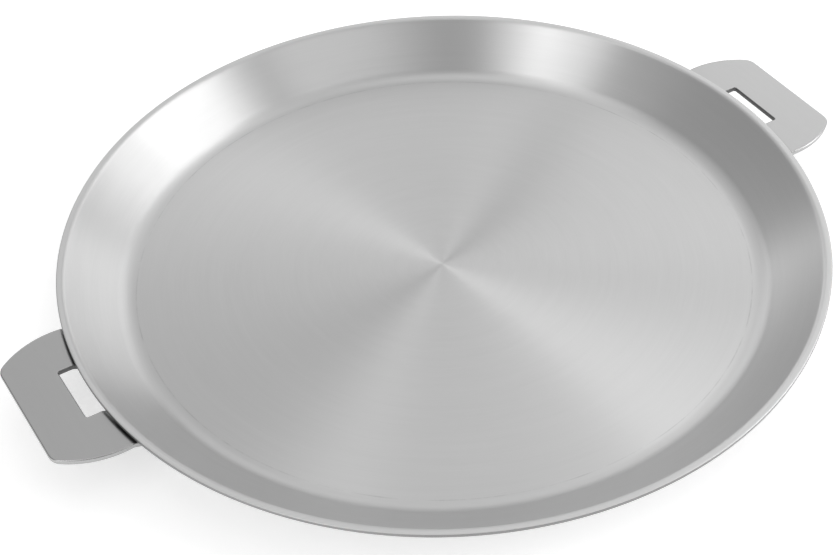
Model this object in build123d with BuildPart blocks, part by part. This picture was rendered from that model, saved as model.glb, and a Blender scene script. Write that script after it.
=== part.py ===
"""A shallow stainless steel crepe pan with a capsule base and two welded, slotted lug handles.

Millimetres. The origin is the centre of the base on the hob, +Z is up and +X runs through the
middle of the right lug.
"""
from build123d import *
from math import atan2, cos, degrees, radians, sin, tan
import os

# Pan: one pressed sheet
RIM_RADIUS = 150.0  # outer edge of the lip
PAN_DEPTH = 16.5  # crown of the lip above the cooking floor
PAN_SHEET = 1.5
WALL_ANGLE = 38.5  # wall above the horizontal, degrees
HEEL_RADIUS = 9.0  # hollow between floor and wall, on the cooking side
FLARE_RADIUS = 5.0  # crown between wall and lip, on the cooking side
LIP_WIDTH = 2.8  # from the sharp corner of wall and lip out to the rim
LIP_DROOP = 8.0  # fall of the lip towards its edge, degrees
LIP_BEVEL = 0.4  # upper edge of the rim, broken by the polishing wheel

# Tool ring left where the floor was pressed flat
RING_FROM_HEEL = 0.4  # outer edge of the ring inside the start of the heel
RING_WIDTH = 0.8
RING_DEPTH = 0.12

# Capsule base: aluminium disc inside a magnetic steel cup
BASE_RADIUS = 119.5
DISC_THICKNESS = 4.0
CUP_SHEET = 0.8
CUP_BEVEL = 1.8  # lower corner of the cup
DISC_CLEARANCE = 0.1  # disc edge to cup wall

# Lug handles
LUG_SHEET = 2.0
LUG_DROP = 2.0  # top of the lug below the crown of the lip
LUG_OVERHANG = 24.6  # straight outer edge beyond the rim
LUG_WIDTH = 69.0  # at the waist, the widest place
LUG_WAIST = 1.0  # waist beyond the rim
LUG_SIDE_RADIUS = 35.0
LUG_CORNER_RADIUS = 6.0
LUG_BEND = 0.6  # corner of the bend down to the feet beyond the rim
LUG_BEND_RADIUS = 4.0  # top side of the bend
LUG_EDGE_BEVEL = 0.45
SLOT_LENGTH = 26.6
SLOT_EDGE = 6.2  # outer side of the slot beyond the rim
SLOT_CORNER_RADIUS = 0.8
FOOT_REACH = 16.0  # the feet run in under the wall this far inside the rim
SEAT_REACH = 8.0  # and lie on the wall from this far inside it
KNEE_RADIUS = 6.0  # top side of the bend where a foot comes to lie on the wall
FOOT_CORNER_RADIUS = 4.0
SEAT_GAP = 0.05  # foot to wall, bridged by the spot welds

# Electrode marks of the spot welds, two on the underside of each foot
WELD_MARK_RADIUS = 2.2
WELD_MARK_DEPTH = 0.2
WELD_FROM_END = 4.0  # from the foot's end, along the pan's radius
WELD_SPACING = 7.5  # across the foot

# Heights
UNDERSIDE = CUP_SHEET + DISC_THICKNESS
FLOOR = UNDERSIDE + PAN_SHEET
CROWN = FLOOR + PAN_DEPTH
LUG_TOP = CROWN - LUG_DROP

# Corners of the pan's section, where its straight lines would meet
wall = radians(WALL_ANGLE)
droop = radians(LIP_DROOP)
lip_corner_radius = RIM_RADIUS - LIP_WIDTH
lip_corner_height = CROWN - FLARE_RADIUS + FLARE_RADIUS * cos((wall - droop) / 2) / cos((wall + droop) / 2)
heel_corner_radius = lip_corner_radius - (lip_corner_height - FLOOR) / tan(wall)
heel_start = heel_corner_radius - HEEL_RADIUS * tan(wall / 2)
outer_heel_radius = heel_corner_radius + PAN_SHEET * tan(wall / 2)

with BuildPart() as pan_body:
    # The cooking side is drawn, thickened downwards, trimmed at the rim and spun about the axis
    with BuildSketch(Plane.XZ) as pan_section:
        with BuildLine():
            cooking_side = FilletPolyline(
                (0, FLOOR),
                (heel_corner_radius, FLOOR),
                (lip_corner_radius, lip_corner_height),
                (lip_corner_radius + 2 * LIP_WIDTH, lip_corner_height - 2 * LIP_WIDTH * tan(droop)),
                radius=(HEEL_RADIUS, FLARE_RADIUS),
            )
            offset(cooking_side, amount=PAN_SHEET, side=Side.RIGHT)
        make_face()
        with Locations((RIM_RADIUS / 2, CROWN / 2)):
            Rectangle(RIM_RADIUS, CROWN, mode=Mode.INTERSECT)
        chamfer(pan_section.vertices().group_by(Axis.X)[-1].sort_by(Axis.Y)[-1], LIP_BEVEL)
    revolve(axis=Axis.Z)

    # The tool ring is a shallow vee just inside the heel
    ring_radius = heel_start - RING_FROM_HEEL
    with BuildSketch(Plane.XZ):
        with BuildLine():
            Polyline(
                (ring_radius - RING_WIDTH, FLOOR),
                (ring_radius - RING_WIDTH / 2, FLOOR - RING_DEPTH),
                (ring_radius, FLOOR),
                close=True,
            )
        make_face()
    revolve(axis=Axis.Z, mode=Mode.SUBTRACT)

with BuildPart() as heat_disc:
    # The lower edge is bevelled to nest in the cup
    with BuildSketch(Plane.XY.offset(CUP_SHEET)):
        Circle(BASE_RADIUS - CUP_SHEET - DISC_CLEARANCE)
    extrude(amount=DISC_THICKNESS)
    chamfer(heat_disc.edges().sort_by(Axis.Z)[0], CUP_BEVEL)

with BuildPart() as base_cup:
    # The rim of the cup meets the underside of the pan
    with BuildSketch():
        Circle(BASE_RADIUS)
    extrude(amount=UNDERSIDE)
    chamfer(base_cup.edges().sort_by(Axis.Z)[0], CUP_BEVEL)
    offset(amount=-CUP_SHEET, openings=base_cup.faces().sort_by(Axis.Z)[-1])


def lug_handle(azimuth):
    """One lug, centred on that azimuth: a slotted plate, bent down to two feet along the wall.

    The section of the sheet is spun about the pan's axis, so that the feet follow the wall's
    cone, and the outline of the stamping is then cut from it. The plate bends down just outside
    the lip, which leaves a narrow gutter round it, and the feet meet the wall further in.
    """
    outer_edge = RIM_RADIUS + LUG_OVERHANG
    foot_end = RIM_RADIUS - FOOT_REACH
    slot_edge = RIM_RADIUS + SLOT_EDGE
    waist = RIM_RADIUS + LUG_WAIST
    side_centre = LUG_WIDTH / 2 - LUG_SIDE_RADIUS

    def seat_height(radius):
        """Height of a foot's upper side, which lies on the wall's outer side, one seat gap away."""
        return UNDERSIDE + (radius - outer_heel_radius) * tan(wall) - SEAT_GAP / cos(wall)

    bend = RIM_RADIUS + LUG_BEND
    knee = RIM_RADIUS - SEAT_REACH
    blank_start = foot_end - LUG_SHEET
    blank_end = outer_edge + LUG_SHEET
    spread = 2 * degrees(atan2(LUG_WIDTH, foot_end))
    first_side = azimuth - spread / 2
    section_plane = Plane(
        (0, 0, 0),
        x_dir=Vector(1, 0, 0).rotate(Axis.Z, first_side),
        z_dir=Vector(0, -1, 0).rotate(Axis.Z, first_side),
    )
    plan = Plane((0, 0, 0), x_dir=Vector(1, 0, 0).rotate(Axis.Z, azimuth), z_dir=(0, 0, 1))

    with BuildPart() as lug:
        with BuildSketch(section_plane):
            with BuildLine():
                upper_side = FilletPolyline(
                    (blank_start, seat_height(blank_start)),
                    (knee, seat_height(knee)),
                    (bend, LUG_TOP),
                    (blank_end, LUG_TOP),
                    radius=(KNEE_RADIUS, LUG_BEND_RADIUS),
                )
                offset(upper_side, amount=LUG_SHEET, side=Side.RIGHT)
            make_face()
        revolve(axis=Axis.Z, revolution_arc=spread)

        with BuildSketch(plan) as outline:
            with Locations((waist, side_centre)):
                Circle(LUG_SIDE_RADIUS)
            with Locations((waist, -side_centre)):
                Circle(LUG_SIDE_RADIUS, mode=Mode.INTERSECT)
            with Locations(((foot_end + outer_edge) / 2, 0)):
                Rectangle(outer_edge - foot_end, LUG_WIDTH, mode=Mode.INTERSECT)
            with Locations((slot_edge, 0)):
                Rectangle(slot_edge, SLOT_LENGTH, align=(Align.MAX, Align.CENTER), mode=Mode.SUBTRACT)
            fillet(outline.vertices().group_by(Axis.X)[-1], LUG_CORNER_RADIUS)
            fillet(outline.vertices().group_by(Axis.X)[0], FOOT_CORNER_RADIUS)
            inner_corners = outline.vertices().filter_by(lambda v: abs(v.X - slot_edge) < LUG_EDGE_BEVEL)
            fillet(inner_corners.filter_by(lambda v: abs(v.Y) < LUG_WIDTH / 3), SLOT_CORNER_RADIUS)
        extrude(amount=CROWN, mode=Mode.INTERSECT)

        # The cut edges of the sheet are bevelled all round
        cut_sides = lug.faces().filter_by(lambda f: abs(f.normal_at().Z) < 1e-6)
        chamfer(cut_sides.edges().filter_by(Axis.Z, reverse=True), LUG_EDGE_BEVEL)

        # Each electrode mark is the cap of a sphere sunk into the foot's underside
        mark_sphere = (WELD_MARK_RADIUS**2 + WELD_MARK_DEPTH**2) / (2 * WELD_MARK_DEPTH)
        stand_off = mark_sphere - WELD_MARK_DEPTH
        mark_radius = foot_end + WELD_FROM_END
        mark_height = seat_height(mark_radius) - LUG_SHEET / cos(wall)
        centre = Vector(mark_radius + stand_off * sin(wall), 0, mark_height - stand_off * cos(wall))
        foot_middle = (SLOT_LENGTH + LUG_WIDTH) / 4
        for foot in (-foot_middle, foot_middle):
            for step in (-WELD_SPACING / 2, WELD_SPACING / 2):
                turn = azimuth + degrees(atan2(foot + step, mark_radius))
                with Locations(centre.rotate(Axis.Z, turn)):
                    Sphere(mark_sphere, mode=Mode.SUBTRACT)
    return lug


right_handle = lug_handle(0)
left_handle = lug_handle(180)

pan_body.part.label = "pan_body"
heat_disc.part.label = "heat_disc"
base_cup.part.label = "base_cup"
right_handle.part.label = "right_handle"
left_handle.part.label = "left_handle"

os.makedirs("parts", exist_ok=True)
export_step(pan_body.part, "parts/pan_body.step")
export_step(heat_disc.part, "parts/heat_disc.step")
export_step(base_cup.part, "parts/base_cup.step")
export_step(right_handle.part, "parts/right_handle.step")
export_step(left_handle.part, "parts/left_handle.step")
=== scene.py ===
"""A brushed stainless steel crepe pan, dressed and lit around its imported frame.

Every mesh is worked out in millimetres, as the pan's own drawing gives it, and scaled to metres
when it is put into Blender. The pan stands on the plane z = 0, centred on the z axis, and its right
lug points along +x. Its heel, wall, flare and lip differ a little from the drawing, because they
were matched to the tones that they show in the photograph.
"""
import logging
from dataclasses import dataclass, field
from enum import Enum
from math import atan2, cos, pi, radians, sin, sqrt, tan

import bmesh
import bpy
import numpy as np
from mathutils import Matrix, Vector


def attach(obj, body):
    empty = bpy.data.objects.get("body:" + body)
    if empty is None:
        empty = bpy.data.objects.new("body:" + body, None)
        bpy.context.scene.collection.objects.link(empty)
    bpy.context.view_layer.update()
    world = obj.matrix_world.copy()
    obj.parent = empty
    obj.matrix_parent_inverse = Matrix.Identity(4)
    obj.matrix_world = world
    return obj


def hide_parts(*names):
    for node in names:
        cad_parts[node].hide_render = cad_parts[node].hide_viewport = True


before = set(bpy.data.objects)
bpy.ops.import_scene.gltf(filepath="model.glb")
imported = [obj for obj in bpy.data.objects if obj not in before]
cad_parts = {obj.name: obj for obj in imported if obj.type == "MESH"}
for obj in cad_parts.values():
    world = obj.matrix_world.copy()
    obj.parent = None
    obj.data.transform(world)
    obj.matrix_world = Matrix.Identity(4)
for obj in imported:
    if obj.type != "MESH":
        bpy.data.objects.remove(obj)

log = logging.getLogger("crepe_pan")

Point = tuple[float, float]
Range = tuple[float, float]
Tree = bpy.types.NodeTree
Socket = bpy.types.NodeSocket

MM = 0.001
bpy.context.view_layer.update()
GRAIN_MAP = "grain"
MERGE_DISTANCE = 0.002  # mm
UP = pi / 2  # the angle that points up in a section


class Finish(Enum):
    """Names for the pan's material slots."""

    PAN = "brushed_pan_steel"
    DISC = "disc_aluminium"
    BASE = "base_steel"
    LUG = "lug_steel"


# Points along a section or an outline


def line(start: Point, end: Point, steps: int) -> np.ndarray:
    """Points from start up to, but not including, end, at even steps.

    Args:
        start: first point of the line.
        end: the point that the line runs to.
        steps: how many points are made.

    Returns:
        One row for each point: start + (end - start) * t, for t from 0 towards 1.
    """
    t = np.arange(steps)[:, None] / steps
    return np.array(start) + (np.array(end) - np.array(start)) * t


def arc(centre: Point, radius: float, first: float, last: float, steps: int) -> np.ndarray:
    """Points along an arc from one angle up to, but not including, another.

    Args:
        centre: the arc's centre.
        radius: the arc's radius.
        first: angle of the first point, in radians.
        last: angle that the arc runs to.
        steps: how many points are made.

    Returns:
        One row for each point: centre + radius * (cos a, sin a).
    """
    a = first + (last - first) * np.arange(steps) / steps
    return np.array(centre) + radius * np.stack([np.cos(a), np.sin(a)], axis=1)


def on_circle(centre: Point, radius: float, angle: float) -> np.ndarray:
    """The one point of a circle at that angle, in radians, as a single row."""
    return arc(centre, radius, angle, angle, steps=1)


def lengths_along(points: np.ndarray) -> np.ndarray:
    """Distance along a chain of points, from 0 at the first."""
    steps = np.linalg.norm(np.diff(points, axis=0), axis=1)
    return np.concatenate([[0.0], np.cumsum(steps)])


# Meshes


def grid_faces(rows: int, columns: int) -> np.ndarray:
    """Quads over a grid of points that is numbered row by row.

    Args:
        rows: number of rows.
        columns: number of columns.

    Returns:
        Four point numbers for each quad.
    """
    row, column = np.meshgrid(np.arange(rows - 1), np.arange(columns - 1), indexing="ij")
    first = row * columns + column
    corners = [first, first + columns, first + columns + 1, first + 1]
    return np.stack(corners, axis=-1).reshape(-1, 4)


def make_piece(
    name: str,
    points: np.ndarray,
    faces: np.ndarray,
    grain: np.ndarray,
    finishes: list[bpy.types.Material],
    finish_of_face: np.ndarray,
) -> bpy.types.Object:
    """Puts a grid into a mesh object with smooth faces and a map that the grain follows.

    Args:
        name: the piece's name.
        points: x, y and z of each point, in millimetres.
        faces: four point numbers for each quad.
        grain: u and v of each point, where u runs across the grain.
        finishes: the piece's materials.
        finish_of_face: the number of each quad's material.

    Returns:
        The object, at the origin, closed and with its faces outwards.
    """
    mesh = bpy.data.meshes.new(name)
    mesh.from_pydata((points * MM).tolist(), [], faces.tolist())
    layer = mesh.uv_layers.new(name=GRAIN_MAP)
    layer.data.foreach_set("uv", grain[faces.ravel()].astype(np.float32).ravel())
    mesh.polygons.foreach_set("material_index", finish_of_face.astype(np.int32))
    mesh.polygons.foreach_set("use_smooth", np.ones(len(mesh.polygons), bool))
    for finish in finishes:
        mesh.materials.append(finish)
    close_and_orient(mesh)
    piece = bpy.data.objects.new(name, mesh)
    bpy.context.scene.collection.objects.link(piece)
    return piece


def close_and_orient(mesh: bpy.types.Mesh) -> None:
    """Merges doubled points at seams and poles and turns every face outwards."""
    bm = bmesh.new()
    bm.from_mesh(mesh)
    bmesh.ops.remove_doubles(bm, verts=bm.verts, dist=MERGE_DISTANCE * MM)
    bmesh.ops.recalc_face_normals(bm, faces=bm.faces)
    bm.to_mesh(mesh)
    bm.free()


def spin(
    name: str,
    section: np.ndarray,
    finishes: list[bpy.types.Material],
    finish_of_span: np.ndarray,
    turns: int,
) -> bpy.types.Object:
    """Spins a section about the z axis into a closed piece.

    The surface is (r cos a, r sin a, z) over the section's radius r and height z and the azimuth a.
    The grain map's u is the distance along the section and its v the distance round at mean radius.

    Args:
        name: the piece's name.
        section: radius and height of each point, from the axis round to the axis again.
        finishes: the piece's materials.
        finish_of_span: the number of the material between each point and the next.
        turns: how many steps make a full turn.

    Returns:
        The spun piece.
    """
    a = np.linspace(0, 2 * pi, turns + 1)
    r, z = section[:, :1], section[:, 1:]
    shape = (len(section), turns + 1)
    points = np.stack([r * np.cos(a), r * np.sin(a), np.broadcast_to(z, shape)], axis=-1)
    u = np.broadcast_to(lengths_along(section)[:, None], shape)
    v = np.broadcast_to(a * section[:, 0].mean(), shape)
    grain = np.stack([u, v], axis=-1).reshape(-1, 2) * MM
    finish_of_face = np.repeat(finish_of_span, turns)
    return make_piece(name, points.reshape(-1, 3), grid_faces(*shape), grain, finishes, finish_of_face)


# Shader nodes


def linear(hex_colour: str) -> tuple[float, float, float, float]:
    """An sRGB hex colour such as "#c8c8c8" as linear red, green, blue and an alpha of 1."""
    channels = [int(hex_colour[i : i + 2], 16) / 255 for i in (1, 3, 5)]
    return (*[c / 12.92 if c <= 0.04045 else ((c + 0.055) / 1.055) ** 2.4 for c in channels], 1.0)


def add(tree: Tree, kind: str, settings: dict | None = None, **inputs) -> bpy.types.Node:
    """Adds a node with its settings and its inputs.

    Args:
        tree: the node tree.
        kind: the node's type, such as "ShaderNodeMath".
        settings: the node's own properties by name.
        inputs: for each input, a value or the output that feeds it. A name such as i0 is the
            input's number, and in any other an underscore stands for a space.

    Returns:
        The new node.
    """
    node = tree.nodes.new(kind)
    for key, value in (settings or {}).items():
        setattr(node, key, value)
    for key, value in inputs.items():
        numbered = key[0] == "i" and key[1:].isdigit()
        socket = node.inputs[int(key[1:]) if numbered else key.replace("_", " ")]
        if isinstance(value, Socket):
            tree.links.new(value, socket)
        else:
            socket.default_value = value
    return node


def calculate(tree: Tree, operation: str, *values: float | Socket) -> Socket:
    """One step of arithmetic on numbers.

    Args:
        tree: the node tree.
        operation: the step, such as "MULTIPLY".
        values: the numbers that it takes, each a value or an output.

    Returns:
        The result's output.
    """
    inputs = {f"i{number}": value for number, value in enumerate(values)}
    return add(tree, "ShaderNodeMath", {"operation": operation}, **inputs).outputs[0]


def calculate_vector(tree: Tree, operation: str, result: str = "Vector", **inputs) -> Socket:
    """One step of arithmetic on vectors.

    Args:
        tree: the node tree.
        operation: the step, such as "NORMALIZE".
        result: "Vector", or "Value" for a step that gives a number.
        inputs: as for add.

    Returns:
        The result's output.
    """
    return add(tree, "ShaderNodeVectorMath", {"operation": operation}, **inputs).outputs[result]


def remap(
    tree: Tree, value: Socket, source: Range, target: Range = (0.0, 1.0), curve: str = "LINEAR"
) -> Socket:
    """Carries one range of numbers over to another and holds them at its ends.

    Args:
        tree: the node tree.
        value: the number.
        source: the two ends that it comes from.
        target: the two ends that it is carried to.
        curve: how it runs from one end to the other.

    Returns:
        The result's output.
    """
    ends = {f"i{number}": end for number, end in enumerate((*source, *target), start=1)}
    return add(tree, "ShaderNodeMapRange", {"interpolation_type": curve}, i0=value, **ends).outputs[0]


def mix(tree: Tree, share: Socket, first: Socket | tuple, second: Socket | tuple) -> Socket:
    """The first colour where the share is 0, the second where it is 1, and a blend between."""
    return add(tree, "ShaderNodeMix", {"data_type": "RGBA"}, i0=share, i6=first, i7=second).outputs[2]


def radius_and_way(tree: Tree) -> tuple[Socket, Socket]:
    """The distance from the z axis, in metres, and the unit vector that points away from it."""
    place = add(tree, "ShaderNodeTexCoord").outputs["Object"]
    flat = calculate_vector(tree, "MULTIPLY", i0=place, i1=(1.0, 1.0, 0.0))
    radius = calculate_vector(tree, "LENGTH", "Value", i0=flat)
    return radius, calculate_vector(tree, "NORMALIZE", i0=flat)


def round_the_axis(tree: Tree, width: float, sweep: float) -> Socket:
    """Coordinates for marks that lie round the z axis, with no seam.

    They are (cos a * sweep, sin a * sweep, radius / width) for the azimuth a, so that noise over
    them is fine along the radius and drawn out round the axis.

    Args:
        tree: the node tree.
        width: width of one mark, in millimetres.
        sweep: how often the marks change on the way round.

    Returns:
        The coordinates' output.
    """
    radius, way = radius_and_way(tree)
    across = calculate(tree, "MULTIPLY", radius, 1 / (width * MM))
    column = add(tree, "ShaderNodeCombineXYZ", Z=across).outputs[0]
    around = calculate_vector(tree, "SCALE", i0=way, Scale=sweep)
    return calculate_vector(tree, "ADD", i0=around, i1=column)


def along_the_lug(tree: Tree, width: float, length: float) -> Socket:
    """Coordinates for marks that lie straight along y, width by length millimetres."""
    place = add(tree, "ShaderNodeTexCoord").outputs["Object"]
    scale = (1 / (width * MM), 1 / (length * MM), 1 / (width * MM))
    return calculate_vector(tree, "MULTIPLY", i0=place, i1=scale)


# Materials


class Grain(Enum):
    """How the marks of a finish lie."""

    ROUND = "round the pan's axis"
    STRAIGHT = "along the lug"


@dataclass(frozen=True)
class Metal:
    """A ground or polished metal.

    Grinding leaves fine grooves, so the surface mirrors sharply along them and spreads light widely
    across them. The eye sees a soft sheen with bright fans that turn with the grooves.
    """

    name: str
    colour: str
    dark_colour: str
    roughness: float
    grain: Grain = Grain.ROUND
    anisotropy: float = 0.0
    line_width: float = 0.3  # mm, as coarse as it needs to show, because real scratches are finer
    broad: int = 9  # how many times wider the broad marks are than the fine ones
    sweep: float = 5.0  # changes of a round mark on its way, or length by width of a straight one
    scratch_height: float = 0.0005  # mm
    gloss_change: float = 0.05  # share of the roughness
    ring_radius: float = 0.0  # mm, of a worn line with small pits, or 0 for none
    ring_width: float = 0.8  # mm
    ring_colour: str = "#8c8c8c"
    ring_strength: float = 0.5  # share of that colour where the line is most worn
    ring_patches: float = 9.0  # changes of the wear on the way round

    def marks(self, tree: Tree, coarser: int) -> Socket:
        """Noise drawn out along the grain.

        Args:
            tree: the node tree.
            coarser: how many times wider than the finest mark.

        Returns:
            The noise's output, around 0.5.
        """
        width = self.line_width * coarser
        if self.grain is Grain.ROUND:
            place = round_the_axis(tree, width, self.sweep / sqrt(coarser))
        else:
            place = along_the_lug(tree, width, width * self.sweep)
        return add(tree, "ShaderNodeTexNoise", Vector=place, Scale=1.0, Detail=3.0, Roughness=0.6).outputs[0]

    def worn_line(self, tree: Tree, colour: Socket) -> Socket:
        """Darkens the line that the press tool left, more in some places than in others.

        Args:
            tree: the node tree.
            colour: the metal's colour.

        Returns:
            The colour with the line in it.
        """
        radius, way = radius_and_way(tree)
        away = calculate(tree, "ABSOLUTE", calculate(tree, "SUBTRACT", radius, self.ring_radius * MM))
        on_line = remap(tree, away, (self.ring_width * MM / 2, 0.0), curve="SMOOTHSTEP")
        noise = add(
            tree, "ShaderNodeTexNoise", Vector=way, Scale=self.ring_patches, Detail=4.0, Roughness=0.7
        ).outputs[0]
        wear = remap(tree, noise, (0.4, 0.75), (0.0, self.ring_strength))
        share = calculate(tree, "MULTIPLY", on_line, wear)
        return mix(tree, share, colour, linear(self.ring_colour))

    def make(self) -> bpy.types.Material:
        """Builds the material."""
        material = bpy.data.materials.new(self.name)
        material.use_nodes = True
        tree = material.node_tree
        tree.nodes.clear()
        fine, broad = self.marks(tree, 1), self.marks(tree, self.broad)
        tone = remap(tree, calculate(tree, "ADD", fine, broad), (0.7, 1.3))
        colour = mix(tree, tone, linear(self.dark_colour), linear(self.colour))
        if self.ring_radius:
            colour = self.worn_line(tree, colour)
        rough = self.roughness * (1 + self.gloss_change)
        smooth = self.roughness * (1 - self.gloss_change)
        bump = add(tree, "ShaderNodeBump", Strength=1.0, Distance=self.scratch_height * MM, Height=fine)
        shader = add(
            tree,
            "ShaderNodeBsdfPrincipled",
            Base_Color=colour,
            Metallic=1.0,
            Roughness=remap(tree, fine, (0.3, 0.7), (rough, smooth)),
            Anisotropic=self.anisotropy,
            Normal=bump.outputs[0],
        )
        if self.anisotropy:
            tangent = add(tree, "ShaderNodeTangent", {"direction_type": "UV_MAP", "uv_map": GRAIN_MAP})
            tree.links.new(tangent.outputs[0], shader.inputs["Tangent"])
        add(tree, "ShaderNodeOutputMaterial", Surface=shader.outputs[0])
        return material


# 18/10 sheet, ground in rings on a turntable, so bright fans run out from the middle
COOKING_STEEL = Metal(
    name="circular_brushed_stainless_steel",
    colour="#cbcbcb",
    dark_colour="#c8c8c8",
    roughness=0.3,
    anisotropy=0.9,
    line_width=0.28,
    ring_radius=121.5,
)
# The lip looks pale and even all the way round, so it is read as buffed across the brushing
LIP_STEEL = Metal("buffed_stainless_steel_lip", "#cfcfcf", "#cbcbcb", 0.4)
# The lip's edge is the lip's steel with the same roughness and a darker colour, which is painted
# shade and shows as a thin darker line round the lip
LIP_EDGE_PAINTED_SHADE_STEEL = Metal("lip_edge_steel_painted_shade", "#989898", "#909090", 0.4)
# The outside keeps the satin of the rolled sheet with a light round grain from polishing
OUTSIDE_STEEL = Metal("satin_stainless_steel", "#c8c8c8", "#bcbcbc", 0.34, anisotropy=0.8, sweep=4.0)
# Magnetic 18/0 steel is ground flat for the hob and looks a little duller and darker
BASE_STEEL = Metal(
    name="ground_magnetic_stainless_steel",
    colour="#bcbcbc",
    dark_colour="#a8a8a8",
    roughness=0.36,
    anisotropy=0.85,
    line_width=0.35,
    scratch_height=0.002,
)
# Pressed aluminium is pale and matt, and shows no direction
DISC_ALUMINIUM = Metal("pressed_aluminium", "#d6d6d8", "#c6c6c9", 0.45, sweep=3.0)
# The stamped sheet is tumbled, which leaves an even satin with a trace of the rolling
LUG_STEEL = Metal(
    name="tumbled_stainless_steel",
    colour="#b9b9b9",
    dark_colour="#b7b7b7",
    roughness=0.3,
    grain=Grain.STRAIGHT,
    anisotropy=0.4,
    sweep=20.0,
    gloss_change=0.02,
)
# Tumbling rounds and smooths the outer edge, which mirrors more sharply than the sheet
LUG_EDGE_STEEL = Metal(
    name="tumbled_stainless_steel_edge",
    colour="#b4b4b4",
    dark_colour="#b0b0b0",
    roughness=0.22,
    grain=Grain.STRAIGHT,
    anisotropy=0.2,
    sweep=8.0,
)
# The punch leaves the slot's sides torn and rough, out of reach of the tumbling stones. Their dark
# colour is painted shade: it stands in for the shaded floor and pan underside that they mirror
SLOT_SIDE_PAINTED_SHADE_STEEL = Metal(
    name="slot_side_steel_painted_shade",
    colour="#747474",
    dark_colour="#6c6c6c",
    roughness=0.5,
    grain=Grain.STRAIGHT,
    sweep=3.0,
)


# The pan


@dataclass
class PanBody:
    """The pressed sheet: floor, heel, wall, flare and lip. Millimetres and degrees."""

    rim_radius: float = 150.0
    depth: float = 16.38  # crown of the flare above the cooking floor
    sheet: float = 1.5
    underside: float = 4.8
    wall_angle: float = 37.72  # above the horizontal
    wall_hollow: float = 0.25  # of the cooking side, at the middle of the wall
    wall_points: int = 16
    heel_radius: float = 12.0
    flare_radius: float = 3.0
    lip_width: float = 2.8  # from the sharp corner of wall and lip out to the rim
    lip_droop: float = -5.0  # fall of the lip towards its edge, so a lip that rises is negative
    lip_rounding: float = 0.4
    ring_from_heel: float = 0.1
    ring_width: float = 0.8
    ring_depth: float = 0.006
    turns: int = 540

    floor: float = field(init=False)
    crown: float = field(init=False)
    wall: float = field(init=False)  # radians
    droop: float = field(init=False)  # radians
    lip_corner: Point = field(init=False)
    heel_start: float = field(init=False)
    heel_centre: Point = field(init=False)
    flare_centre: Point = field(init=False)
    outer_heel: float = field(init=False)

    def __post_init__(self) -> None:
        """Works out where the section's straight lines would meet and where its arcs lie."""
        self.floor = self.underside + self.sheet
        self.crown = self.floor + self.depth
        self.wall = radians(self.wall_angle)
        self.droop = radians(self.lip_droop)
        half_turn = (self.wall + self.droop) / 2
        lean = (self.wall - self.droop) / 2
        self.lip_corner = (
            self.rim_radius - self.lip_width,
            self.crown - self.flare_radius + self.flare_radius * cos(lean) / cos(half_turn),
        )
        rise = self.lip_corner[1] - self.floor
        heel_corner = self.lip_corner[0] - rise / tan(self.wall)
        self.heel_start = heel_corner - self.heel_radius * tan(self.wall / 2)
        self.heel_centre = (self.heel_start, self.floor + self.heel_radius)
        self.flare_centre = (
            self.lip_corner[0] + self.flare_radius * (sin(self.wall) - tan(half_turn) * cos(self.wall)),
            self.crown - self.flare_radius,
        )
        self.outer_heel = heel_corner + self.sheet * tan(self.wall / 2)

    def lip_height(self, radius: float) -> float:
        """Height of the lip's upper side at that radius."""
        return self.lip_corner[1] - (radius - self.lip_corner[0]) * tan(self.droop)

    def floor_side(self) -> list[np.ndarray]:
        """The cooking floor from the axis out, with the tool ring that ends it."""
        ring_in = self.heel_start - self.ring_from_heel - self.ring_width
        near_axis = 0.5 * 2.0 ** np.arange(5)
        beyond = np.linspace(near_axis[-1], ring_in - 1.0, 20)
        radii = np.concatenate([[0.0], near_axis, beyond[1:]])
        across = np.linspace(0, 1, 9)
        dip = self.floor - self.ring_depth * np.sin(pi * across) ** 2
        return [
            np.stack([radii, np.full_like(radii, self.floor)], axis=1),
            np.stack([ring_in + self.ring_width * across, dip], axis=1),
        ]

    def wall_side(self) -> list[np.ndarray]:
        """The cooking side of the heel, of the wall with its slight hollow, and of the flare."""
        wall = self.wall
        heel_end = on_circle(self.heel_centre, self.heel_radius, wall - UP)[0]
        flare_start = on_circle(self.flare_centre, self.flare_radius, UP + wall)[0]
        slope = line(heel_end, flare_start, self.wall_points)
        way = np.arange(self.wall_points)[:, None] / self.wall_points
        slope += self.wall_hollow * 4 * way * (1 - way) * np.array([sin(wall), -cos(wall)])
        return [
            arc(self.heel_centre, self.heel_radius, -UP, wall - UP, steps=14),
            slope,
            arc(self.flare_centre, self.flare_radius, UP + wall, UP - self.droop, steps=12),
        ]

    def rim_sides(self) -> tuple[list[np.ndarray], list[np.ndarray]]:
        """The lip's upper side with the start of its rounding, and the trimmed edge below it."""
        rim, rounding, droop = self.rim_radius, self.lip_rounding, self.droop
        upper_centre = (rim - rounding, self.lip_height(rim - rounding) - rounding)
        lower_centre = (rim - rounding, self.lip_height(rim) - self.sheet / cos(droop) + rounding)
        lip = [
            on_circle(self.flare_centre, self.flare_radius, UP - droop),
            arc(upper_centre, rounding, UP - droop, UP / 2, steps=4),
        ]
        edge = [
            arc(upper_centre, rounding, UP / 2, 0.0, steps=4),
            line((rim, upper_centre[1]), (rim, lower_centre[1]), steps=3),
            arc(lower_centre, rounding, 0.0, -UP - droop, steps=7),
        ]
        return lip, edge

    def outer_side(self) -> list[np.ndarray]:
        """The outside from the lip down the wall and the underside back to the axis."""
        wall = self.wall
        flare, heel = self.flare_radius - self.sheet, self.heel_radius + self.sheet
        flare_end = on_circle(self.flare_centre, flare, UP + wall)[0]
        heel_start = on_circle(self.heel_centre, heel, wall - UP)[0]
        return [
            arc(self.flare_centre, flare, UP - self.droop, UP + wall, steps=10),
            line(flare_end, heel_start, steps=12),
            arc(self.heel_centre, heel, wall - UP, -UP, steps=12),
            line((self.heel_start, self.underside), (0.0, self.underside), steps=16),
            np.array([[0.0, self.underside]]),
        ]

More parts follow.
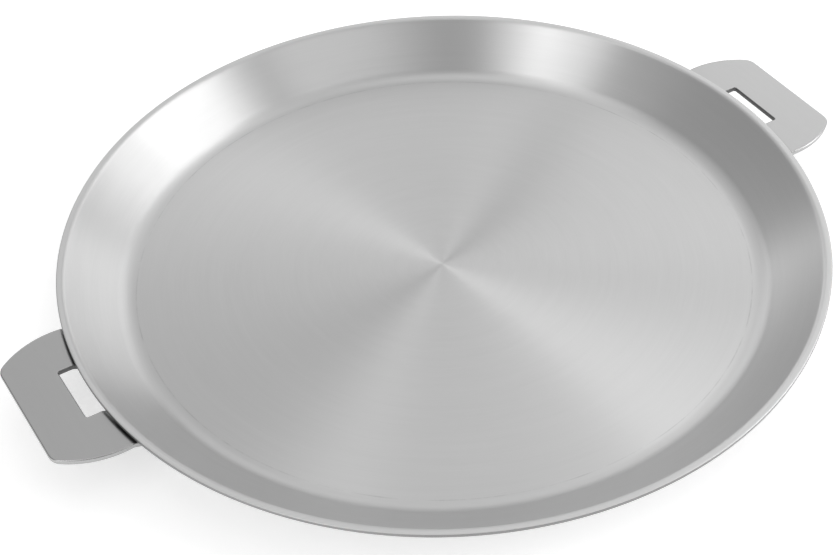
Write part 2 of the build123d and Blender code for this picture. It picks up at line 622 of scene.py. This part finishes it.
    def section(self) -> tuple[np.ndarray, np.ndarray]:
        """The closed section, from the axis along the cooking side and back along the outside.

        Returns:
            Radius and height of each point, and the number of the finish of each span: 0 for the
            brushed cooking side, 1 for the buffed lip, 2 for its edge, darkened with painted shade,
            and 3 for the outside.
        """
        sides = (self.floor_side() + self.wall_side(), *self.rim_sides(), self.outer_side())
        counts = [sum(len(part) for part in side) for side in sides]
        finish_of_span = np.repeat(np.arange(len(sides)), counts)[:-1]
        return np.concatenate([part for side in sides for part in side]), finish_of_span

    def build(self, finishes: list[bpy.types.Material]) -> bpy.types.Object:
        """Spins the section in place of the CAD node."""
        points, finish_of_span = self.section()
        piece = spin("pan_shell", points, finishes, finish_of_span, self.turns)
        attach(piece, "root")
        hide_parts("pan_body")
        return piece


@dataclass
class BaseCup:
    """The magnetic steel cup that encloses the aluminium disc. Millimetres."""

    radius: float = 119.5
    height: float = 4.8
    sheet: float = 0.8
    corner: float = 2.0
    turns: int = 480

    def section(self) -> np.ndarray:
        """The closed section, from the axis along the outside, over the rim and back inside."""
        centre = (self.radius - self.corner, self.corner)
        inside = self.radius - self.sheet
        bottom = np.linspace(0, 1, 24) ** 0.8 * centre[0]  # the rings lie closer towards the corner
        return np.concatenate(
            [
                np.stack([bottom, np.zeros_like(bottom)], axis=1),
                arc(centre, self.corner, -UP, 0, steps=12)[1:],
                line((self.radius, self.corner), (self.radius, self.height), steps=3),
                line((self.radius, self.height), (inside, self.height), steps=1),
                line((inside, self.height), (inside, self.corner), steps=3),
                arc(centre, self.corner - self.sheet, 0, -UP, steps=8),
                line((centre[0], self.sheet), (0, self.sheet), steps=6),
                np.array([[0.0, self.sheet]]),
            ]
        )

    def build(self, finish: bpy.types.Material) -> bpy.types.Object:
        """Spins the section in place of the CAD node."""
        points = self.section()
        piece = spin("base_cup_shell", points, [finish], np.zeros(len(points) - 1, int), self.turns)
        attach(piece, "root")
        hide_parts("base_cup")
        return piece


class Side(Enum):
    """The two lugs, by the side of the pan that they stand on and their azimuth in degrees."""

    RIGHT = 0.0
    LEFT = 180.0

    @property
    def node(self) -> str:
        """The CAD node that the lug's piece stands for."""
        return f"{self.name.lower()}_handle"


@dataclass
class LugHandle:
    """One lug: a slotted plate whose two feet are bent down along the wall. Millimetres.

    The plan is a ribbon that runs from the end of one foot round the slot to the end of the other.
    """

    pan: PanBody
    sheet: float = 2.0
    drop: float = 1.88  # top of the lug below the crown of the flare
    overhang: float = 24.6
    waist: float = 1.0  # the widest place, beyond the rim
    width: float = 69.0
    side_radius: float = 35.0
    corner_radius: float = 6.0
    bend_beyond: float = 0.6  # corner of the bend, beyond the rim
    bend_radius: float = 4.0
    edge_rounding: float = 0.45
    edge_rows: int = 6  # of points, in each of the cut edge's two roundings
    slot_length: float = 26.6
    slot_edge: float = 6.2
    slot_corner: float = 0.8
    foot_reach: float = 16.0
    seat_reach: float = 8.0
    knee_radius: float = 6.0
    foot_corner: float = 4.0
    seat_gap: float = 0.05
    mark_radius: float = 2.2
    mark_depth: float = 0.2
    mark_from_end: float = 4.0
    mark_spacing: float = 7.5
    across: int = 44  # steps from the slot's side of the ribbon to the outer side

    top: float = field(init=False)
    foot_end: float = field(init=False)
    outer_edge: float = field(init=False)
    slot_side: float = field(init=False)
    bend: Point = field(init=False)
    knee: Point = field(init=False)
    slope: float = field(init=False)  # radians, between knee and bend

    def __post_init__(self) -> None:
        """Works out the level of the sheet and where its two bends lie."""
        rim = self.pan.rim_radius
        self.top = self.pan.crown - self.drop
        self.foot_end = rim - self.foot_reach
        self.outer_edge = rim + self.overhang
        self.slot_side = rim + self.slot_edge
        self.bend = (rim + self.bend_beyond, self.top)
        self.knee = (rim - self.seat_reach, self.seat_height(rim - self.seat_reach))
        self.slope = atan2(self.bend[1] - self.knee[1], self.bend[0] - self.knee[0])

    def seat_height(self, radius: float) -> float:
        """Height of a foot's upper side where it lies on the wall's outer side."""
        pan = self.pan
        return pan.underside + (radius - pan.outer_heel) * tan(pan.wall) - self.seat_gap / cos(pan.wall)

    def side_height(self, radius: np.ndarray, depth: float) -> np.ndarray:
        """Height of a line of the sheet's section that lies at a depth below its upper side.

        The line climbs along the wall, turns through the knee, climbs less steeply, turns through
        the bend and then runs level. Both turns are arcs, and their radii shrink by the depth.

        Args:
            radius: distances from the pan's axis.
            depth: 0 for the upper side and the sheet's thickness for the lower.

        Returns:
            The height at each radius.
        """
        wall, slope = self.pan.wall, self.slope
        knee_tangent = self.knee_radius * tan((wall - slope) / 2)
        knee_centre = (
            self.knee[0] - knee_tangent * cos(wall) + self.knee_radius * sin(wall),
            self.knee[1] - knee_tangent * sin(wall) - self.knee_radius * cos(wall),
        )
        bend_centre = (self.bend[0] + self.bend_radius * tan(slope / 2), self.top - self.bend_radius)
        start = self.foot_end - self.sheet
        chain = np.concatenate(
            [
                [[start, self.seat_height(start) - depth / cos(wall)]],
                arc(knee_centre, self.knee_radius - depth, UP + wall, UP + slope, steps=16),
                on_circle(knee_centre, self.knee_radius - depth, UP + slope),
                arc(bend_centre, self.bend_radius - depth, UP + slope, UP, steps=24),
                [[bend_centre[0], self.top - depth], [self.outer_edge + self.sheet, self.top - depth]],
            ]
        )
        return np.interp(radius, chain[:, 0], chain[:, 1])

    def lower(self, x: np.ndarray, y: np.ndarray) -> np.ndarray:
        """Height of the sheet's lower side, with the caps of the electrode marks sunk into it.

        Args:
            x: distances from the pan's axis along the lug.
            y: distances from the lug's middle line.

        Returns:
            The height at each point, which is the higher of the side and the marks' spheres.
        """
        wall = self.pan.wall
        height = self.side_height(np.hypot(x, y), self.sheet)
        sphere = (self.mark_radius**2 + self.mark_depth**2) / (2 * self.mark_depth)
        stand_off = sphere - self.mark_depth
        ring = self.foot_end + self.mark_from_end
        ring_height = self.side_height(np.array(ring), self.sheet)
        out = ring + stand_off * sin(wall)
        foot_middle = (self.slot_length + self.width) / 4
        for foot in (-foot_middle, foot_middle):
            for step in (-self.mark_spacing / 2, self.mark_spacing / 2):
                turn = atan2(foot + step, ring)
                away = np.hypot(x - out * cos(turn), y - out * sin(turn))
                dome = ring_height - stand_off * cos(wall) + np.sqrt(np.maximum(sphere**2 - away**2, 0))
                height = np.maximum(height, np.where(away < sphere, dome, height))
        return height

    def chains(self, inset: float) -> tuple[np.ndarray, np.ndarray]:
        """The slot's side and the outer side of the plan, set in from the cut edge.

        Each runs from the end of the foot at +y to the end of the other, with as many points, and
        the arcs keep their centres, so a point moves straight in from the edge as the inset grows.

        Args:
            inset: distance from the cut edge into the sheet.

        Returns:
            The chain round the slot and the chain round the outside.
        """
        half_slot = self.slot_length / 2
        corner, foot, notch = self.corner_radius, self.foot_corner, self.slot_corner
        centre = (self.pan.rim_radius + self.waist, self.width / 2 - self.side_radius)
        corner_x = self.outer_edge - corner
        foot_x = self.foot_end + foot
        corner_y = centre[1] + sqrt((self.side_radius - corner) ** 2 - (corner_x - centre[0]) ** 2)
        foot_y = centre[1] + sqrt((self.side_radius - foot) ** 2 - (foot_x - centre[0]) ** 2)
        first = atan2(foot_y - centre[1], foot_x - centre[0])
        last = atan2(corner_y - centre[1], corner_x - centre[0])
        slot_x, outer_x = self.slot_side + inset, self.outer_edge - inset
        slot_start = (foot_x, half_slot + inset)
        slot_end = (self.slot_side - notch, half_slot + inset)
        slot = [
            arc((foot_x, half_slot + foot), foot - inset, pi, 1.5 * pi, steps=14),
            line(slot_start, slot_end, steps=52),
            arc((self.slot_side - notch, half_slot - notch), notch + inset, pi / 2, 0, steps=10),
            line((slot_x, half_slot - notch), (slot_x, 0), steps=20),
        ]
        outside = [
            arc((foot_x, foot_y), foot - inset, pi, first, steps=14),
            arc(centre, self.side_radius - inset, first, last, steps=52),
            arc((corner_x, corner_y), corner - inset, last, 0, steps=16),
            line((outer_x, corner_y), (outer_x, 0), steps=14),
        ]
        return self.mirrored(slot, slot_x), self.mirrored(outside, outer_x)

    @staticmethod
    def mirrored(parts: list[np.ndarray], middle: float) -> np.ndarray:
        """A chain that runs on as its own mirror image, past the point where it meets the x axis.

        Args:
            parts: the half at +y.
            middle: x of the point on the axis.

        Returns:
            The whole chain.
        """
        half = np.concatenate(parts)
        return np.concatenate([half, [[middle, 0.0]], half[::-1] * np.array([1.0, -1.0])])

    def loop(self, inset: float) -> np.ndarray:
        """The whole cut edge as one closed loop: out along the slot and back round the outside."""
        slot, outside = self.chains(inset)
        w = np.linspace(0, 1, self.across + 1)[1:-1, None]
        far = slot[-1] + (outside[-1] - slot[-1]) * w
        near = outside[0] + (slot[0] - outside[0]) * w
        return np.concatenate([slot, far, outside[::-1], near])

    def cut_edge(self) -> np.ndarray:
        """Rows of points that join the upper side to the lower, each row a closed loop.

        From the upper side the edge rounds over through a quarter turn, runs down the sheet's
        thickness and rounds under in the same way.
        """
        rounding = self.edge_rounding
        rows = []
        for turn in np.linspace(0, pi / 2, self.edge_rows):
            rim = self.loop(rounding * (1 - sin(turn)))
            height = self.side_height(np.hypot(*rim.T), 0.0) - rounding * (1 - cos(turn))
            rows.append(np.column_stack([rim, height]))
        for turn in np.linspace(pi / 2, 0, self.edge_rows):
            rim = self.loop(rounding * (1 - sin(turn)))
            height = self.lower(*rim.T) + rounding * (1 - cos(turn))
            rows.append(np.column_stack([rim, height]))
        return np.stack([np.concatenate([row, row[:1]]) for row in rows])

    def build(self, side: Side, finishes: list[bpy.types.Material]) -> bpy.types.Object:
        """Builds the lug in place of its CAD node.

        The upper and lower sides are the ribbon slot + (outside - slot) * w for w from 0 to 1, and
        the cut edge joins them.

        Args:
            side: which lug it is.
            finishes: 0 for the satin of the sides, 1 for the outer cut edge and 2 for the slot's
                sides, which the punch tore and which are darkened with painted shade, apart from their first
                row, which still shows the outer edge's.

        Returns:
            The lug.
        """
        slot, outside = self.chains(self.edge_rounding)
        w = np.linspace(0, 1, self.across + 1)[None, :, None]
        plan = slot[:, None] + (outside - slot)[:, None] * w
        x, y = plan[..., 0], plan[..., 1]
        upper = np.stack([x, y, self.side_height(np.hypot(x, y), 0.0)], axis=-1)
        lower = np.stack([x, y, self.lower(x, y)], axis=-1)
        edge = self.cut_edge()

        grids = (upper, lower, edge)
        starts = np.cumsum([0, upper[..., 0].size, lower[..., 0].size])
        faces = [grid_faces(*grid.shape[:2]) + start for grid, start in zip(grids, starts)]
        points = np.concatenate([grid.reshape(-1, 3) for grid in grids])
        grain = points[:, :2] * MM
        # the slot's sides, apart from their first row, take the dark steel that paints their shade
        slot_faces_with_painted_shade = np.zeros((edge.shape[0] - 1, edge.shape[1] - 1), bool)
        slot_faces_with_painted_shade[1:, : len(slot) - 1] = True
        sides = np.zeros(len(faces[0]) + len(faces[1]), int)
        finish_of_face = np.concatenate([sides, np.where(slot_faces_with_painted_shade, 2, 1).ravel()])
        turn = np.array(Matrix.Rotation(radians(side.value), 3, "Z"))
        name = f"{side.name.lower()}_lug"
        piece = make_piece(name, points @ turn.T, np.concatenate(faces), grain, finishes, finish_of_face)
        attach(piece, "root")
        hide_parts(side.node)
        return piece


# Light, floor and camera


def bearing(angle: float, elevation: float, view_turn: float) -> Vector:
    """The unit vector towards a place round the pan.

    Args:
        angle: anticlockwise from the picture's right, in degrees.
        elevation: above the floor, in degrees.
        view_turn: how far the picture's right is turned from +x, in degrees.

    Returns:
        The vector in the pan's frame.
    """
    a, e = radians(angle + view_turn), radians(elevation)
    return Vector((cos(e) * cos(a), cos(e) * sin(a), sin(e)))


@dataclass(frozen=True)
class Softbox:
    """A rectangular lamp that faces the pan, sized by the angles that it fills. Degrees."""

    name: str
    angle: float
    elevation: float
    wide: float
    high: float
    radiance: float
    distance: float = 2.0  # m

    def build(self, view_turn: float) -> None:
        """Puts the lamp in the scene.

        Args:
            view_turn: how far the picture's right is turned from +x, in degrees.
        """
        light = bpy.data.lights.new(self.name, "AREA")
        light.shape = "RECTANGLE"
        light.size = 2 * self.distance * tan(radians(self.wide) / 2)
        light.size_y = 2 * self.distance * tan(radians(self.high) / 2)
        light.energy = self.radiance * pi * light.size * light.size_y
        lamp = bpy.data.objects.new(self.name, light)
        away = bearing(self.angle, self.elevation, view_turn)
        facing = away.to_track_quat("Z", "Y").to_matrix().to_4x4()
        lamp.matrix_world = Matrix.Translation(away * self.distance) @ facing
        bpy.context.scene.collection.objects.link(lamp)


@dataclass(frozen=True)
class Glow:
    """A brighter part of the room, which fades as exp(focus * (cos of the angle from it - 1))."""

    angle: float
    elevation: float
    radiance: float
    focus: float = 4.0


@dataclass
class Studio:
    """A white floor, a pale room, softboxes, and the camera at the photograph's angle."""

    softboxes: tuple[Softbox, ...]
    glows: tuple[Glow, ...]
    room: float = 0.35  # radiance of the room between its glows
    floor_reach: float = 15.0  # m, from the middle to each side
    floor_colour: str = "#e6e6e6"
    floor_lift: float = 0.45  # radiance added where the camera, a mirror or glass sees the floor
    view_turn: float = -29.1  # the picture's right from +x, in degrees
    elevation: float = 42.72  # degrees
    roll: float = 2.77  # degrees
    crown: float = 22.8  # mm, where the camera aims
    distance: float = 673.7  # mm
    shift_right: float = 9.75  # mm, of the pan in the picture
    shift_up: float = 17.5  # mm
    lens: float = 74.4  # mm
    sensor: float = 36.0  # mm

    def place_camera(self) -> None:
        """Puts the camera where the pan's ellipses in the photograph are seen from.

        The camera looks along the line at that elevation, is rolled about it, and is then slid
        sideways in its own picture plane.
        """
        a, e, roll = radians(self.view_turn), radians(self.elevation), radians(self.roll)
        right = Vector((cos(a), sin(a), 0))
        ahead = Vector((-sin(a), cos(a), 0))
        up = ahead * sin(e) + Vector((0, 0, cos(e)))
        back = -ahead * cos(e) + Vector((0, 0, sin(e)))
        right_rolled = right * cos(roll) - up * sin(roll)
        up_rolled = right * sin(roll) + up * cos(roll)
        place = back * self.distance - right_rolled * self.shift_right - up_rolled * self.shift_up
        camera_data = bpy.data.cameras.new("camera")
        camera_data.lens = self.lens
        camera_data.sensor_width = self.sensor
        camera_data.clip_start = 0.01
        camera = bpy.data.objects.new("camera", camera_data)
        turn = Matrix((right_rolled, up_rolled, back)).transposed()
        camera.matrix_world = Matrix.Translation((place + Vector((0, 0, self.crown))) * MM) @ turn.to_4x4()
        bpy.context.scene.collection.objects.link(camera)
        bpy.context.scene.camera = camera

    def lay_floor(self) -> None:
        """Lays a white floor that keeps the pan's shadow."""
        reach = self.floor_reach
        mesh = bpy.data.meshes.new("studio_floor")
        corners = [(-reach, -reach, 0), (reach, -reach, 0), (reach, reach, 0), (-reach, reach, 0)]
        mesh.from_pydata(corners, [], [(0, 1, 2, 3)])
        material = bpy.data.materials.new("matt_white_paper")
        material.use_nodes = True
        tree = material.node_tree
        tree.nodes.clear()
        path = add(tree, "ShaderNodeLightPath")
        seen = path.outputs["Is Camera Ray"]
        for ray in ("Is Glossy Ray", "Is Transmission Ray"):
            seen = calculate(tree, "MAXIMUM", seen, path.outputs[ray])
        paper = add(tree, "ShaderNodeBsdfDiffuse", Color=linear(self.floor_colour))
        lift = add(tree, "ShaderNodeEmission", Color=(1, 1, 1, 1), Strength=self.floor_lift)
        lifted = add(tree, "ShaderNodeAddShader", i0=paper.outputs[0], i1=lift.outputs[0])
        shown = add(tree, "ShaderNodeMixShader", i0=seen, i1=paper.outputs[0], i2=lifted.outputs[0])
        add(tree, "ShaderNodeOutputMaterial", Surface=shown.outputs[0])
        mesh.materials.append(material)
        floor = bpy.data.objects.new("studio_floor", mesh)
        bpy.context.scene.collection.objects.link(floor)

    def fill_room(self) -> None:
        """Fills the room with pale light and its glows."""
        world = bpy.data.worlds.new("studio_room")
        bpy.context.scene.world = world
        world.use_nodes = True
        tree = world.node_tree
        tree.nodes.clear()
        way = add(tree, "ShaderNodeTexCoord").outputs["Generated"]
        level = self.room
        for glow in self.glows:
            middle = bearing(glow.angle, glow.elevation, self.view_turn)
            near = calculate_vector(tree, "DOT_PRODUCT", "Value", i0=way, i1=middle)
            power = calculate(tree, "MULTIPLY_ADD", near, glow.focus, -glow.focus)
            fade = calculate(tree, "EXPONENT", power)
            level = calculate(tree, "MULTIPLY_ADD", fade, glow.radiance, level)
        room = add(tree, "ShaderNodeBackground", Color=(1, 1, 1, 1), Strength=level)
        add(tree, "ShaderNodeOutputWorld", Surface=room.outputs[0])

    def build(self) -> None:
        """Sets the floor, the room, the lamps and the camera."""
        self.lay_floor()
        self.fill_room()
        for softbox in self.softboxes:
            softbox.build(self.view_turn)
        self.place_camera()
        bpy.context.scene.view_settings.view_transform = "Standard"


# Each lamp's name, angle, elevation, width, height and radiance. They began as the result of a
# least-squares fit of test lamps to the photograph's tones. right_key, right_back_key, back_right,
# back_middle, top_back, top_right, top_left and both glows are still that result, rounded. The
# other lamps were changed after the fit.
SOFTBOXES = (
    Softbox("right_low", -3, 20.5, 30, 35, 3.1),
    Softbox("right_key", 1, 53, 11, 18, 1.36),
    Softbox("right_back_key", 37, 47, 20.5, 30, 1.51),
    Softbox("back_right", 68.5, 47, 22.5, 30, 0.42),
    Softbox("back_low_right", 61.5, 22, 30, 32, 0.81),
    Softbox("back_low", 103, 23.5, 38.5, 17, 0.78),
    Softbox("back_middle", 104.5, 45.5, 40, 33, 0.37),
    Softbox("top_back", 120, 70, 31, 16, 0.77),
    Softbox("top_right", 45, 67, 23.5, 22, 0.35),
    Softbox("top_left", 195, 73, 17.5, 10, 1.55),
    Softbox("left_strip", 231, 32, 9, 28, 3.2),
    Softbox("left_window", 234, 55, 14.5, 15, 1.32),
    Softbox("left_middle", 210.5, 53, 13, 18, 1.32),
    Softbox("front_right", 314, 62.5, 28, 31, 0.7),
)
GLOWS = (Glow(0, 5, 0.61), Glow(240, 5, 0.71))


def main() -> None:
    """Builds the pan's pieces in order and reports each."""
    logging.basicConfig(level=logging.INFO, format="%(message)s")
    pan = PanBody()
    shell = pan.build([COOKING_STEEL.make(), LIP_STEEL.make(), LIP_EDGE_PAINTED_SHADE_STEEL.make(), OUTSIDE_STEEL.make()])
    log.info("%s: %d faces", shell.name, len(shell.data.polygons))
    cup = BaseCup().build(BASE_STEEL.make())
    log.info("%s: %d faces", cup.name, len(cup.data.polygons))
    lug_finishes = [LUG_STEEL.make(), LUG_EDGE_STEEL.make(), SLOT_SIDE_PAINTED_SHADE_STEEL.make()]
    for side in Side:
        lug = LugHandle(pan).build(side, lug_finishes)
        log.info("%s: %d faces", lug.name, len(lug.data.polygons))
    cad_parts["heat_disc"].data.materials[0] = DISC_ALUMINIUM.make()
    Studio(SOFTBOXES, GLOWS).build()


if __name__ == "__main__":
    main()
